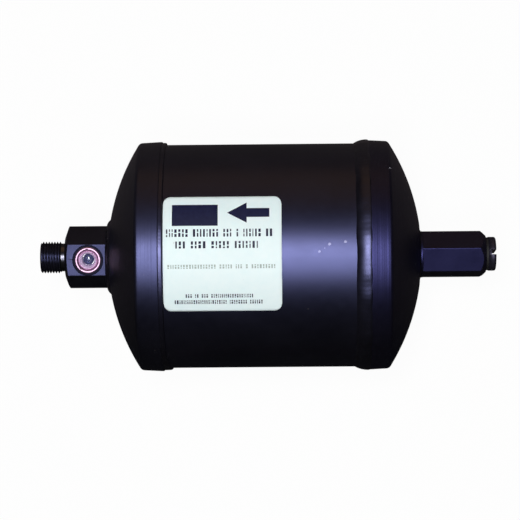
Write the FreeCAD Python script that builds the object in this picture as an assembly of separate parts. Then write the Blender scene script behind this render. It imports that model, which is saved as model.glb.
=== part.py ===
import FreeCAD, Part

import os
from math import atan2, cos, pi, radians, sin, sqrt, tan

from FreeCAD import Vector

# Liquid receiver and filter drier with a sight glass, lying on its side.
# X is the vessel's axis and points to the inlet. Z points up, out of the
# sight glass and the label. The origin is the middle of the shell, on its axis.
# All sizes are in millimetres and degrees.

# Shell
shell_outer_diameter = 112.7
shell_wall = 1.5
shell_length = 110.0

# Dished heads, pressed to slip over the ends of the shell
head_wall = 1.4
head_overlap = 4.0
head_skirt_length = 10.1
crown_radius = 106.0
knuckle_radius = 2.4
skirt_taper = 3.0
skirt_clearance = 0.02
head_seat_radius = 17.0

# Seam welds at the rims of the two heads
outlet_bead_width = 2.6
inlet_bead_width = 6.1
inlet_bead_lap = 1.4
inlet_bead_toe = 1.4
bead_rise = 0.25
bead_bulge = 0.35

# Bore of both fittings where they pass through their heads
spigot_radius = 7.0
spigot_clearance = 0.05
spigot_protrusion = 3.0

# Outlet fitting: hex block, sight port and male thread
outlet_collar_radius = 15.7
outlet_collar_length = 1.9
outlet_hex_across_flats = 27.5
outlet_hex_length = 20.8
outlet_hex_face_radius = 10.3
outlet_hex_chamfer = 2.03
outlet_hex_turn = 6.5
neck_radius = 7.05
neck_length = 2.0
thread_diameter = 15.875
thread_length = 10.5
thread_chamfer = 0.7
outlet_passage_radius = 4.0
outlet_bore_radius = 4.85
outlet_bore_length = 8.0
outlet_mouth_radius = 6.2
outlet_weld_leg = 3.4
outlet_weld_bulge = 0.33

# Sight glass
sight_offset = 8.7
sight_spotface_radius = 7.6
sight_spotface_depth = 0.7
sight_hole_radius = 5.65
sight_hole_depth = 8.4
sight_window_radius = 2.6
sight_thread_clearance = 0.05
gasket_thickness = 0.7
lens_thickness = 2.1
lens_clearance = 0.3
lens_dome_rise = 0.9
lens_dome_radius = 2.7
retainer_flange_radius = 6.65
retainer_crest_radius = 5.8
retainer_crest_height = 0.75
retainer_groove_outer = 5.0
retainer_groove_inner = 4.3
retainer_groove_depth = 0.45
retainer_groove_draft = 0.1
retainer_mouth_radius = 4.15
retainer_throat_radius = 2.95

# Inlet fitting: long hex bar with a female port
inlet_collar_radius = 11.7
inlet_collar_length = 1.8
inlet_hex_across_flats = 21.0
inlet_hex_length = 31.9
inlet_hex_chamfer = 3.1
inlet_hex_face_radius = 9.2
inlet_hex_turn = 16.0
inlet_passage_radius = 4.5
port_radius = 7.45
port_depth = 14.0
inlet_weld_leg = 1.5
inlet_weld_bulge = 0.15

# Shipping plug in the inlet port, with its flat seal
plug_clearance = 0.05
plug_engagement = 9.0
plug_wall = 1.8
plug_web = 2.6
plug_head_radius = 8.55
plug_head_length = 3.8
plug_head_round = 1.1
plug_slot_width = 2.5
plug_slot_depth = 2.3
plug_slot_turn = 7.0
seal_thickness = 1.2
seal_outer_radius = 8.3
seal_bore_clearance = 0.1

# Filter pack inside the shell
pack_clearance = 0.35
stop_ring_section = 3.0
stop_ring_position = -29.0
plate_thickness = 1.2
plate_hole_radius = 3.2
plate_inner_circle = 18.0
plate_inner_hole_count = 6
plate_outer_circle = 38.0
plate_outer_hole_count = 12
pad_thickness = 3.5
bed_length = 42.0

# Spring between the filter pack and the inlet head
spring_wire_radius = 1.5
spring_large_radius = 42.0
spring_small_radius = 13.5
spring_turns = 3.5
spring_points_per_turn = 8

# Pickup tube, from the outlet fitting down to the bottom of the vessel
tube_outer_radius = 4.75
tube_wall = 0.9
tube_clearance = 0.05
tube_seat_depth = 8.0
tube_bend_radius = 14.0
tube_run = 10.0
tube_end_clearance = 8.0
strainer_length = 16.0
strainer_wall = 0.6
strainer_floor_clearance = 2.4
strainer_mouth_radius = 7.2
strainer_collar_length = 2.0

# Label, wrapped over the upper side of the shell
label_thickness = 0.15
label_glue = 0.05
label_margin = 0.1
label_length = 57.2
label_rise_angle = 31.5
label_fall_angle = 28.2
label_corner_radius = 3.8

# How far a cutting shape reaches past the surface that it cuts
cut_margin = 1.0

# Sizes that follow from the ones above
shell_radius = shell_outer_diameter / 2
shell_bore_radius = shell_radius - shell_wall
taper = radians(skirt_taper)
rim_position = shell_length / 2 - head_overlap
rim_radius = shell_radius + skirt_clearance + head_wall / cos(taper) + head_overlap * tan(taper)
knuckle_x = rim_position + head_skirt_length * cos(taper) - knuckle_radius * sin(taper)
knuckle_r = rim_radius - head_skirt_length * sin(taper) - knuckle_radius * cos(taper)
crown_centre = knuckle_x - sqrt((crown_radius - knuckle_radius) ** 2 - knuckle_r ** 2)
seat_position = crown_centre + sqrt(crown_radius ** 2 - head_seat_radius ** 2)
spigot_end = seat_position - head_wall - spigot_protrusion
pack_radius = shell_bore_radius - pack_clearance
label_low_x = outlet_bead_width - rim_position + label_margin
x_axis = Vector(1, 0, 0)
y_axis = Vector(0, 1, 0)
z_axis = Vector(0, 0, 1)
origin = Vector(0, 0, 0)
parts = {}


class Outline:
    """A closed outline of points (along, out), drawn edge by edge in the XY plane."""

    def __init__(self, *start):
        self.start = self.last = Vector(*start)
        self.edges = []

    def to(self, *end):
        end = Vector(*end)
        self.edges.append(Part.LineSegment(self.last, end).toShape())
        self.last = end
        return self

    def bend(self, through, end):
        through, end = Vector(*through), Vector(*end)
        self.edges.append(Part.Arc(self.last, through, end).toShape())
        self.last = end
        return self

    def face(self):
        if self.last.distanceToPoint(self.start) > 1e-6:
            self.to(self.start)
        return Part.Face(Part.Wire(self.edges))

    def turned(self):
        """The solid of revolution of the outline about the X axis."""
        return self.face().revolve(origin, x_axis, 360)


def rod(radius, start, end):
    """A cylinder along the X axis."""
    return Part.makeCylinder(radius, end - start, Vector(start, 0, 0), x_axis)


def ring(outer, inner, start, end):
    return rod(outer, start, end).cut(rod(inner, start, end))


def hex_bar(across_flats, start, end, chamfer, face_radius):
    """A hexagonal bar along the X axis, one flat up, its far end turned to a cone."""
    corner = across_flats / sqrt(3)
    corners = [
        Vector(start, corner * cos(radians(60 * i)), corner * sin(radians(60 * i))) for i in range(7)
    ]
    bar = Part.Face(Part.makePolygon(corners)).extrude(Vector(end - start, 0, 0))
    turned_end = Outline(start, 0).to(start, corner).to(end - chamfer, corner)
    turned_end.to(end, face_radius).to(end, 0)
    return bar.common(turned_end.turned())


def at_outlet(shape):
    """Turns a piece that was built for the inlet end round to the outlet end."""
    return shape.rotated(origin, z_axis, 180)


def about_axis(shape, angle):
    """Turns a piece about the vessel's axis, from straight up towards the front."""
    return shape.rotated(origin, x_axis, angle)


def crown_at(radius, inward=0.0):
    """Axial position of the crown at a distance from the axis."""
    return crown_centre + sqrt((crown_radius - inward) ** 2 - radius ** 2)


# Shell
def build_shell():
    parts["shell"] = ring(shell_radius, shell_bore_radius, -shell_length / 2, shell_length / 2)


# Heads: a tapered skirt, a knuckle tangent to it and to the crown, and a flat seat
def skirt_radius(along):
    """Outer radius of the tapered skirt, which grips the very end of the shell."""
    return rim_radius - (along - rim_position) * tan(taper)


def head_surface(inward):
    """Points of one side of the head, from the rim to the flat seat."""
    radius = knuckle_radius - inward
    skirt_angle = pi / 2 - taper
    crown_angle = atan2(knuckle_r, knuckle_x - crown_centre)
    knuckle = []
    for angle in (skirt_angle, (skirt_angle + crown_angle) / 2, crown_angle):
        knuckle.append((knuckle_x + radius * cos(angle), knuckle_r + radius * sin(angle)))
    seat_x = seat_position - inward
    seat_r = sqrt((crown_radius - inward) ** 2 - (seat_x - crown_centre) ** 2)
    middle_r = (knuckle[2][1] + seat_r) / 2
    return {
        "rim": (rim_position, rim_radius - inward / cos(taper)),
        "knuckle": knuckle,
        "crown_middle": (crown_at(middle_r, inward), middle_r),
        "seat": (seat_x, seat_r),
    }


def build_heads():
    outside = head_surface(0.0)
    inside = head_surface(head_wall)
    hole = spigot_radius + spigot_clearance
    section = Outline(*outside["rim"])
    section.to(*outside["knuckle"][0]).bend(*outside["knuckle"][1:])
    section.bend(outside["crown_middle"], outside["seat"]).to(seat_position, hole)
    section.to(seat_position - head_wall, hole).to(*inside["seat"])
    section.bend(inside["crown_middle"], inside["knuckle"][2])
    section.bend(inside["knuckle"][1], inside["knuckle"][0]).to(*inside["rim"])
    head = section.turned()
    parts["inlet_head"] = head
    parts["outlet_head"] = at_outlet(head)


# Seam welds: a narrow fillet at the outlet, a wide convex bead over the rim at the inlet
def bulged(start, end, bulge):
    """The point beside the middle of a chord that an arc with this bulge passes through."""
    run, rise = end[0] - start[0], end[1] - start[1]
    chord = sqrt(run ** 2 + rise ** 2)
    return (start[0] + end[0]) / 2 - bulge * rise / chord, (start[1] + end[1]) / 2 + bulge * run / chord


def build_weld_beads():
    toe = (rim_position - outlet_bead_width, shell_radius)
    top = (rim_position, rim_radius - bead_rise)
    outlet = Outline(*toe).bend(bulged(toe, top, bead_bulge), top).to(rim_position, shell_radius)
    parts["outlet_weld_bead"] = at_outlet(outlet.turned())

    toe = (rim_position - inlet_bead_width, shell_radius)
    shoulder = (toe[0] + inlet_bead_toe, rim_radius - bead_rise)
    lap_end = rim_position + inlet_bead_lap
    inlet = Outline(*toe).bend(bulged(toe, shoulder, bead_bulge), shoulder)
    inlet.bend(((shoulder[0] + lap_end) / 2, rim_radius + bead_rise), (lap_end, skirt_radius(lap_end)))
    inlet.to(rim_position, rim_radius).to(rim_position, shell_radius)
    parts["inlet_weld_bead"] = inlet.turned()


# Outlet fitting
collar_end = seat_position + outlet_collar_length
hex_end = collar_end + outlet_hex_length
neck_end = hex_end + neck_length
outlet_end = neck_end + thread_length
sight_position = collar_end + sight_offset
flat_height = outlet_hex_across_flats / 2


def upright(shape):
    """Stands a turned piece up, so that its X axis points out of the sight flat."""
    standing = shape.rotated(origin, y_axis, -90)
    return about_axis(standing.translated(Vector(-sight_position, 0, flat_height)), outlet_hex_turn)


def build_outlet_fitting():
    block = hex_bar(
        outlet_hex_across_flats, collar_end, hex_end, outlet_hex_chamfer, outlet_hex_face_radius
    )
    thread_radius = thread_diameter / 2
    core = Outline(spigot_end, 0).to(spigot_end, spigot_radius).to(seat_position, spigot_radius)
    core.to(seat_position, outlet_collar_radius).to(collar_end, outlet_collar_radius)
    core.to(collar_end, neck_radius).to(neck_end, neck_radius)
    core.to(neck_end + thread_radius - neck_radius, thread_radius)
    core.to(outlet_end - thread_chamfer, thread_radius).to(outlet_end, thread_radius - thread_chamfer)
    core.to(outlet_end, 0)
    body = block.fuse(core.turned())

    tube_seat = tube_outer_radius + tube_clearance
    tube_end = spigot_end + tube_seat_depth
    mouth = outlet_mouth_radius - outlet_bore_radius
    bore_start = outlet_end - mouth - outlet_bore_length
    bore = Outline(spigot_end, 0).to(spigot_end, tube_seat).to(tube_end, tube_seat)
    bore.to(tube_end, outlet_passage_radius).to(bore_start, outlet_passage_radius)
    bore.to(bore_start, outlet_bore_radius).to(outlet_end - mouth, outlet_bore_radius)
    bore.to(outlet_end, outlet_mouth_radius).to(outlet_end, 0)
    body = body.cut(bore.turned())

    body = about_axis(at_outlet(body), outlet_hex_turn)
    sight = Outline(-flat_height, 0).to(-flat_height, sight_window_radius)
    sight.to(-sight_hole_depth, sight_window_radius).to(-sight_hole_depth, sight_hole_radius)
    sight.to(-sight_spotface_depth, sight_hole_radius).to(-sight_spotface_depth, sight_spotface_radius)
    sight.to(cut_margin, sight_spotface_radius).to(cut_margin, 0)
    parts["outlet_fitting"] = body.cut(upright(sight.turned())).removeSplitter()


# Sight glass: gasket, domed glass and the threaded ring that holds them down
def build_sight_glass():
    lens_low = gasket_thickness - sight_hole_depth
    lens_top = lens_low + lens_thickness
    lens_radius = sight_hole_radius - lens_clearance
    gasket = ring(lens_radius, sight_window_radius, -sight_hole_depth, lens_low)
    parts["sight_glass_gasket"] = upright(gasket)

    dome_sphere = (lens_dome_radius ** 2 + lens_dome_rise ** 2) / (2 * lens_dome_rise)
    half_r = lens_dome_radius / 2
    half_x = lens_top + lens_dome_rise - dome_sphere + sqrt(dome_sphere ** 2 - half_r ** 2)
    lens = Outline(lens_low, 0).to(lens_low, lens_radius).to(lens_top, lens_radius)
    lens.to(lens_top, lens_dome_radius).bend((half_x, half_r), (lens_top + lens_dome_rise, 0))
    parts["sight_glass_lens"] = upright(lens.turned())

    shank = sight_hole_radius - sight_thread_clearance
    floor = -sight_spotface_depth
    groove = retainer_crest_height - retainer_groove_depth
    retainer = Outline(lens_top, retainer_throat_radius).to(lens_top, shank).to(floor, shank)
    retainer.to(floor, retainer_flange_radius).to(groove / 2, retainer_flange_radius)
    retainer.bend((retainer_crest_height, retainer_crest_radius), (groove, retainer_groove_outer))
    retainer.to(floor, retainer_groove_outer - retainer_groove_draft).to(floor, retainer_groove_inner)
    retainer.to(groove, retainer_groove_inner).to(groove, retainer_mouth_radius)
    parts["sight_glass_retainer"] = upright(retainer.turned())


# Inlet fitting
inlet_collar_end = seat_position + inlet_collar_length
inlet_end = inlet_collar_end + inlet_hex_length


def build_inlet_fitting():
    bar = hex_bar(
        inlet_hex_across_flats, inlet_collar_end, inlet_end, inlet_hex_chamfer, inlet_hex_face_radius
    )
    core = Outline(spigot_end, 0).to(spigot_end, spigot_radius).to(seat_position, spigot_radius)
    core.to(seat_position, inlet_collar_radius).to(inlet_collar_end, inlet_collar_radius)
    core.to(inlet_collar_end, 0)
    port_floor = inlet_end - port_depth
    passage = rod(inlet_passage_radius, spigot_end, port_floor)
    port = rod(port_radius, port_floor, inlet_end)
    body = bar.fuse(core.turned()).cut(passage).cut(port).removeSplitter()
    parts["inlet_fitting"] = about_axis(body, inlet_hex_turn)


# Beads where the fittings meet their heads
def fitting_bead(collar_radius, leg, bulge):
    foot = collar_radius + leg
    low = (crown_at(max(foot, head_seat_radius)), foot)
    top = (seat_position + leg / 2, collar_radius)
    bead = Outline(seat_position, collar_radius).to(*top).bend(bulged(low, top, -bulge), low)
    if foot > head_seat_radius:
        half = (foot + head_seat_radius) / 2
        bead.bend((crown_at(half), half), (seat_position, head_seat_radius))
    return bead.turned()


def build_fitting_welds():
    bead = fitting_bead(outlet_collar_radius, outlet_weld_leg, outlet_weld_bulge)
    parts["outlet_fitting_weld"] = at_outlet(bead)
    parts["inlet_fitting_weld"] = fitting_bead(inlet_collar_radius, inlet_weld_leg, inlet_weld_bulge)


# Shipping plug: a slotted head on a hollow stem, and the seal under the head
def build_plug():
    stem = port_radius - plug_clearance
    tip = inlet_end - plug_engagement
    head = inlet_end + seal_thickness
    end = head + plug_head_length
    corner = plug_head_round * (1 - 1 / sqrt(2))
    hollow_end = end - plug_slot_depth - plug_web
    body = Outline(tip, stem).to(head, stem).to(head, plug_head_radius)
    body.to(end - plug_head_round, plug_head_radius)
    body.bend((end - corner, plug_head_radius - corner), (end, plug_head_radius - plug_head_round))
    body.to(end, 0).to(hollow_end, 0).to(hollow_end, stem - plug_wall).to(tip, stem - plug_wall)
    reach = plug_head_radius + cut_margin
    slot = Part.makeBox(
        plug_slot_depth + cut_margin, plug_slot_width, 2 * reach,
        Vector(end - plug_slot_depth, -plug_slot_width / 2, -reach),
    )
    parts["inlet_plug"] = body.turned().cut(about_axis(slot, -plug_slot_turn))
    parts["plug_seal"] = ring(seal_outer_radius, stem + seal_bore_clearance, inlet_end, head)


# Filter pack: stop ring, plate, pad, bed, pad, plate, one against the next
plate_start = stop_ring_position + stop_ring_section
outlet_pad_start = plate_start + plate_thickness
bed_start = outlet_pad_start + pad_thickness
inlet_pad_start = bed_start + bed_length
inlet_plate_start = inlet_pad_start + pad_thickness
pack_end = inlet_plate_start + plate_thickness


def perforated_plate(start):
    plate = rod(pack_radius, start, start + plate_thickness)
    holes = [rod(plate_hole_radius, start, start + plate_thickness)]
    circles = ((plate_inner_circle, plate_inner_hole_count), (plate_outer_circle, plate_outer_hole_count))
    for circle, count in circles:
        for i in range(count):
            angle = 2 * pi * i / count
            place = Vector(0, circle * cos(angle), circle * sin(angle))
            holes.append(holes[0].translated(place))
    return plate.cut(holes)


def build_filter_pack():
    ring_bore = shell_bore_radius - stop_ring_section
    parts["outlet_stop_ring"] = ring(shell_bore_radius, ring_bore, stop_ring_position, plate_start)
    parts["outlet_perforated_plate"] = perforated_plate(plate_start)
    parts["outlet_filter_pad"] = rod(pack_radius, outlet_pad_start, bed_start)
    parts["desiccant_bed"] = rod(pack_radius, bed_start, inlet_pad_start)
    parts["inlet_filter_pad"] = rod(pack_radius, inlet_pad_start, inlet_plate_start)
    parts["inlet_perforated_plate"] = perforated_plate(inlet_plate_start)


# Conical spring with both ends ground flat, from the pack to the inside of the inlet head
def build_spring():
    seat = seat_position - head_wall
    steps = round(spring_turns * spring_points_per_turn)
    points = []
    for i in range(steps + 1):
        part = i / steps
        angle = 2 * pi * spring_turns * part
        radius = spring_large_radius + (spring_small_radius - spring_large_radius) * part
        along = pack_end + (seat - pack_end) * part
        points.append(Vector(along, radius * cos(angle), radius * sin(angle)))
    curve = Part.BSplineCurve()
    curve.interpolate(points)
    path = curve.toShape()
    section = Part.makeCircle(spring_wire_radius, points[0], path.tangentAt(path.FirstParameter))
    wire = Part.Wire([path]).makePipeShell([Part.Wire([section])], True, True)
    between_seats = rod(spring_large_radius + 2 * spring_wire_radius, pack_end, seat)
    parts["bed_spring"] = wire.common(between_seats)


# Pickup tube: out of the spigot, through one bend and down into the strainer
def tube_solid(radius, start, bend, low):
    turn = sqrt(0.5) * tube_bend_radius
    corner = Vector(bend + turn, 0, turn - tube_bend_radius)
    foot = Vector(bend + tube_bend_radius, 0, -tube_bend_radius)
    path = Part.Wire([
        Part.LineSegment(Vector(start, 0, 0), Vector(bend, 0, 0)).toShape(),
        Part.Arc(Vector(bend, 0, 0), corner, foot).toShape(),
        Part.LineSegment(foot, Vector(foot.x, 0, low)).toShape(),
    ])
    section = Part.Wire([Part.makeCircle(radius, Vector(start, 0, 0), x_axis)])
    return path.makePipeShell([section], True, False)


def build_pickup_tube():
    start = -spigot_end - tube_seat_depth
    bend = -spigot_end + tube_run
    floor = strainer_floor_clearance - shell_bore_radius
    low = floor + tube_end_clearance
    outer = tube_solid(tube_outer_radius, start, bend, low)
    parts["pickup_tube"] = outer.cut(tube_solid(tube_outer_radius - tube_wall, start, bend, low))

    foot_x = bend + tube_bend_radius
    mouth = low + strainer_length - tube_end_clearance
    collar = tube_outer_radius + tube_clearance
    collar_top = mouth + strainer_collar_length
    shoulder = mouth - strainer_wall
    inner_radius = strainer_mouth_radius - strainer_wall
    cup = Outline(floor, 0).to(floor, strainer_mouth_radius).to(shoulder, strainer_mouth_radius)
    cup.to(mouth, collar + strainer_wall).to(collar_top, collar + strainer_wall).to(collar_top, collar)
    cup.to(shoulder, collar).to(shoulder - strainer_wall, inner_radius)
    cup.to(floor + strainer_wall, inner_radius).to(floor + strainer_wall, 0)
    standing = cup.turned().rotated(origin, y_axis, -90)
    parts["pickup_strainer"] = standing.translated(Vector(foot_x, 0, 0))


# Label: a rounded rectangle seen from above, wrapped on the shell
def build_label():
    high_x = label_low_x + label_length
    high_y = shell_radius * sin(radians(label_rise_angle))
    low_y = -shell_radius * sin(radians(label_fall_angle))
    inset = label_corner_radius
    bulge = inset * (1 - sqrt(0.5))
    sheet = Outline(label_low_x + inset, low_y).to(high_x - inset, low_y)
    sheet.bend((high_x - bulge, low_y + bulge), (high_x, low_y + inset)).to(high_x, high_y - inset)
    sheet.bend((high_x - bulge, high_y - bulge), (high_x - inset, high_y))
    sheet.to(label_low_x + inset, high_y)
    sheet.bend((label_low_x + bulge, high_y - bulge), (label_low_x, high_y - inset))
    sheet.to(label_low_x, low_y + inset)
    sheet.bend((label_low_x + bulge, low_y + bulge), (label_low_x + inset, low_y))
    prism = sheet.face().extrude(Vector(0, 0, 2 * shell_radius))
    inner = shell_radius + label_glue
    skin = ring(inner + label_thickness, inner, label_low_x, high_x)
    parts["label"] = skin.common(prism)


build_shell()
build_heads()
build_weld_beads()
build_outlet_fitting()
build_sight_glass()
build_inlet_fitting()
build_fitting_welds()
build_plug()
build_filter_pack()
build_spring()
build_pickup_tube()
build_label()

os.makedirs("parts", exist_ok=True)
for name, shape in parts.items():
    shape.exportStep(os.path.join("parts", name + ".step"))
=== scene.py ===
import math

import bmesh
import bpy
import numpy as np
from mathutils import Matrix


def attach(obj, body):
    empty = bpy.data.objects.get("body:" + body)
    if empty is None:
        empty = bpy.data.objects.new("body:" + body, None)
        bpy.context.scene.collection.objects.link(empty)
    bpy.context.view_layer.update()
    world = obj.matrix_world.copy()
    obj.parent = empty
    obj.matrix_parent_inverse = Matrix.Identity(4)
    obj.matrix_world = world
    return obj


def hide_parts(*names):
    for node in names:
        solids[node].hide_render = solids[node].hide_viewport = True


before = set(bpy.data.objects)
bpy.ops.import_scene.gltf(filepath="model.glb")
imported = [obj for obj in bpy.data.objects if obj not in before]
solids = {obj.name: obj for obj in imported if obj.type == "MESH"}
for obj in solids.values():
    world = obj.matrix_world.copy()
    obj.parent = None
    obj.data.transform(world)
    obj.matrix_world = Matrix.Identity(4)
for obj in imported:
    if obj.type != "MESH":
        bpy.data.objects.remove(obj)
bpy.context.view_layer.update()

# Lengths are in millimetres up to the point where a mesh is made, angles in degrees.
mm = 0.001
print("loaded", len(solids), "solids")


# Mesh helpers: every piece is a grid of points worked out as whole arrays.

def linkObject(name, data):
    thing = bpy.data.objects.new(name, data)
    bpy.context.collection.objects.link(thing)
    return thing


def tidyMesh(mesh, sharpAngle, mergeWithin=1e-6, shortest=1e-7):
    # doubles are merged, faces turned outward, and only edges past sharpAngle stay hard
    work = bmesh.new()
    work.from_mesh(mesh)
    bmesh.ops.remove_doubles(work, verts=work.verts, dist=mergeWithin)
    bmesh.ops.dissolve_degenerate(work, edges=work.edges, dist=shortest)
    bmesh.ops.recalc_face_normals(work, faces=work.faces)
    work.to_mesh(mesh)
    work.free()
    mesh.polygons.foreach_set("use_smooth", np.ones(len(mesh.polygons), bool))
    mesh.set_sharp_from_angle(angle=math.radians(sharpAngle))


def makeObject(name, points, faces, sharpAngle=40):
    mesh = bpy.data.meshes.new(name)
    mesh.from_pydata((points.reshape(-1, 3) * mm).tolist(), [], faces.tolist())
    tidyMesh(mesh, sharpAngle)
    return linkObject(name, mesh)


def gridFaces(rows, columns, wrapRows, wrapColumns):
    # four corner numbers for each cell of the grid; a wrapped side joins its last line to its first
    rowNumbers, columnNumbers = np.arange(rows - 1 + wrapRows), np.arange(columns - 1 + wrapColumns)
    i, j = np.meshgrid(rowNumbers, columnNumbers, indexing="ij")
    nextI, nextJ = (i + 1) % rows, (j + 1) % columns
    corners = [i * columns + j, nextI * columns + j, nextI * columns + nextJ, i * columns + nextJ]
    return np.stack(corners, axis=-1).reshape(-1, 4)


def gridObject(name, points, wrapRows=True, wrapColumns=True, sharpAngle=40):
    rows, columns = points.shape[:2]
    return makeObject(name, points, gridFaces(rows, columns, wrapRows, wrapColumns), sharpAngle)


def aroundAxis(side, along, radius, turn):
    # side -1 is the outlet end and +1 the inlet end; turn runs from straight up towards the front
    along, radius, turn = np.broadcast_arrays(along, radius, turn)
    return np.stack([side * along, -radius * np.sin(turn), radius * np.cos(turn)], axis=-1)


def fullTurn(columns):
    return np.linspace(0, 2 * math.pi, columns, endpoint=False)


def softCorners(corners, trims, steps=4, mostOfSide=0.3, holdAt=1.5):
    # a closed outline (..., corner, 2): each corner is cut back by its trim, at most mostOfSide of either
    # side, and bridged by a parabola; one more point on each side, holdAt trims away, keeps the flats flat
    before = np.roll(corners, 1, axis=-2) - corners
    after = np.roll(corners, -1, axis=-2) - corners
    lengthBefore = np.linalg.norm(before, axis=-1, keepdims=True)
    lengthAfter = np.linalg.norm(after, axis=-1, keepdims=True)
    longest = mostOfSide * np.minimum(lengthBefore, lengthAfter)
    trim = np.minimum(np.asarray(trims, float)[:, None], longest)
    start = before / np.maximum(lengthBefore, 1e-9) * trim
    end = after / np.maximum(lengthAfter, 1e-9) * trim
    t = np.linspace(0, 1, steps + 1)[:, None]
    bridge = corners[..., None, :] + start[..., None, :] * (1 - t) ** 2 + end[..., None, :] * t ** 2
    first, last = (corners + holdAt * start)[..., None, :], (corners + holdAt * end)[..., None, :]
    held = np.concatenate([first, bridge, last], axis=-2)
    return held.reshape(*corners.shape[:-2], -1, 2)


def wander(turn, seed, low, high):
    # unevenness round a circle: whole-number waves from low to high with random phases, about -1 to 1
    rng = np.random.default_rng(seed)
    waves = np.arange(low, high + 1)
    phases = rng.uniform(0, 2 * math.pi, len(waves))
    sizes = rng.uniform(0.5, 1.0, len(waves))
    total = (sizes * np.cos(np.asarray(turn)[..., None] * waves + phases)).sum(-1)
    return total / math.sqrt((sizes ** 2).sum())


def dress(thing, nodes, slotName, *finishes, body="vessel"):
    # the piece stands for its solids, moves with its body and gets its finishes
    if nodes:
        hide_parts(*nodes)
    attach(thing, body)
    thing.data.materials.clear()
    for finish in finishes:
        thing.data.materials.append(finish)
    return thing


# Shared shader effects, as node groups that give out heights, masks and factors.

def newGroup(name, inputs, outputs):
    group = bpy.data.node_groups.new(name, "ShaderNodeTree")
    for label, kind, value in inputs:
        made = group.interface.new_socket(name=label, in_out="INPUT", socket_type=kind)
        if value is not None:
            made.default_value = value
    for label in outputs:
        group.interface.new_socket(name=label, in_out="OUTPUT", socket_type="NodeSocketFloat")
    return group, group.nodes.new("NodeGroupInput"), group.nodes.new("NodeGroupOutput")


def addNode(tree, kind, settings=None, values=None):
    made = tree.nodes.new(kind)
    for key, value in (settings or {}).items():
        setattr(made, key, value)
    for key, value in (values or {}).items():
        made.inputs[key].default_value = value
    return made


def feed(tree, value, socket):
    # a plain number is set on the socket, anything else is linked to it
    if isinstance(value, (int, float)):
        socket.default_value = value
    else:
        tree.links.new(value, socket)


def mathNode(tree, operation, *values):
    made = addNode(tree, "ShaderNodeMath", {"operation": operation})
    for place, value in enumerate(values):
        feed(tree, value, made.inputs[place])
    return made.outputs[0]


def noiseNode(tree, vector, scale, detail=3.0, roughness=0.5):
    made = addNode(tree, "ShaderNodeTexNoise", None, {"Detail": detail, "Roughness": roughness})
    tree.links.new(vector, made.inputs["Vector"])
    feed(tree, scale, made.inputs["Scale"])
    return made.outputs["Fac"]


def clampNode(tree, value):
    made = tree.nodes.new("ShaderNodeClamp")
    tree.links.new(value, made.inputs[0])
    return made.outputs[0]


def numberInput(name, value):
    return name, "NodeSocketFloat", value


vectorInput = ("Vector", "NodeSocketVector", None)

# uneven gloss and colour: a broad cloud with a finer one over it, spread about its middle value
cloudMix = {"finer": 7.0, "fineShare": 0.35, "broadShare": 0.65, "middle": 0.5, "contrast": 2.6}
cloudGroup, enter, leave = newGroup("unevenCloud", [vectorInput, numberInput("Scale", 40.0)], ["Factor"])
broad = noiseNode(cloudGroup, enter.outputs["Vector"], enter.outputs["Scale"], 4.0)
fineScale = mathNode(cloudGroup, "MULTIPLY", enter.outputs["Scale"], cloudMix["finer"])
fine = noiseNode(cloudGroup, enter.outputs["Vector"], fineScale, 2.0)
broadPart = mathNode(cloudGroup, "MULTIPLY", broad, cloudMix["broadShare"])
mixed = mathNode(cloudGroup, "MULTIPLY_ADD", fine, cloudMix["fineShare"], broadPart)
fromMiddle = mathNode(cloudGroup, "SUBTRACT", mixed, cloudMix["middle"])
spread = mathNode(cloudGroup, "MULTIPLY_ADD", fromMiddle, cloudMix["contrast"], cloudMix["middle"])
cloudGroup.links.new(clampNode(cloudGroup, spread), leave.inputs["Factor"])

# sprayed paint: small round swells, given in metres of height
peelGroup, enter, leave = newGroup(
    "orangePeel", [vectorInput, numberInput("Scale", 600.0), numberInput("Depth", 4e-6)], ["Height"])
peel = noiseNode(peelGroup, enter.outputs["Vector"], enter.outputs["Scale"], 1.5)
peelGroup.links.new(mathNode(peelGroup, "MULTIPLY", peel, enter.outputs["Depth"]), leave.inputs["Height"])

# drawing and turning marks: bands that change along the vessel's axis only
markGroup, enter, leave = newGroup(
    "turnedMarks", [vectorInput, numberInput("Scale", 900.0), numberInput("Depth", 2e-6)], ["Height"])
axes = markGroup.nodes.new("ShaderNodeSeparateXYZ")
markGroup.links.new(enter.outputs["Vector"], axes.inputs[0])
bandNoise = {"Detail": 3.0, "Roughness": 0.6}
bands = addNode(markGroup, "ShaderNodeTexNoise", {"noise_dimensions": "1D"}, bandNoise)
markGroup.links.new(axes.outputs["X"], bands.inputs["W"])
markGroup.links.new(enter.outputs["Scale"], bands.inputs["Scale"])
bandHeight = mathNode(markGroup, "MULTIPLY", bands.outputs["Fac"], enter.outputs["Depth"])
markGroup.links.new(bandHeight, leave.inputs["Height"])

# dust: sparse round specks, each cell of the pattern holding one or none
speckGroup, enter, leave = newGroup("dustSpecks", [
    vectorInput, numberInput("Scale", 260.0), numberInput("Size", 0.1), numberInput("Share", 0.25)], ["Mask"])
cells = addNode(speckGroup, "ShaderNodeTexVoronoi", {"feature": "F1"})
speckGroup.links.new(enter.outputs["Vector"], cells.inputs["Vector"])
speckGroup.links.new(enter.outputs["Scale"], cells.inputs["Scale"])
cellValue = speckGroup.nodes.new("ShaderNodeSeparateColor")
speckGroup.links.new(cells.outputs["Color"], cellValue.inputs[0])
speckSize = mathNode(speckGroup, "MULTIPLY", enter.outputs["Size"], cellValue.outputs[1])
inside = mathNode(speckGroup, "LESS_THAN", cells.outputs["Distance"], speckSize)
chosen = mathNode(speckGroup, "LESS_THAN", cellValue.outputs[0], enter.outputs["Share"])
speckGroup.links.new(mathNode(speckGroup, "MULTIPLY", inside, chosen), leave.inputs["Mask"])

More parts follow.
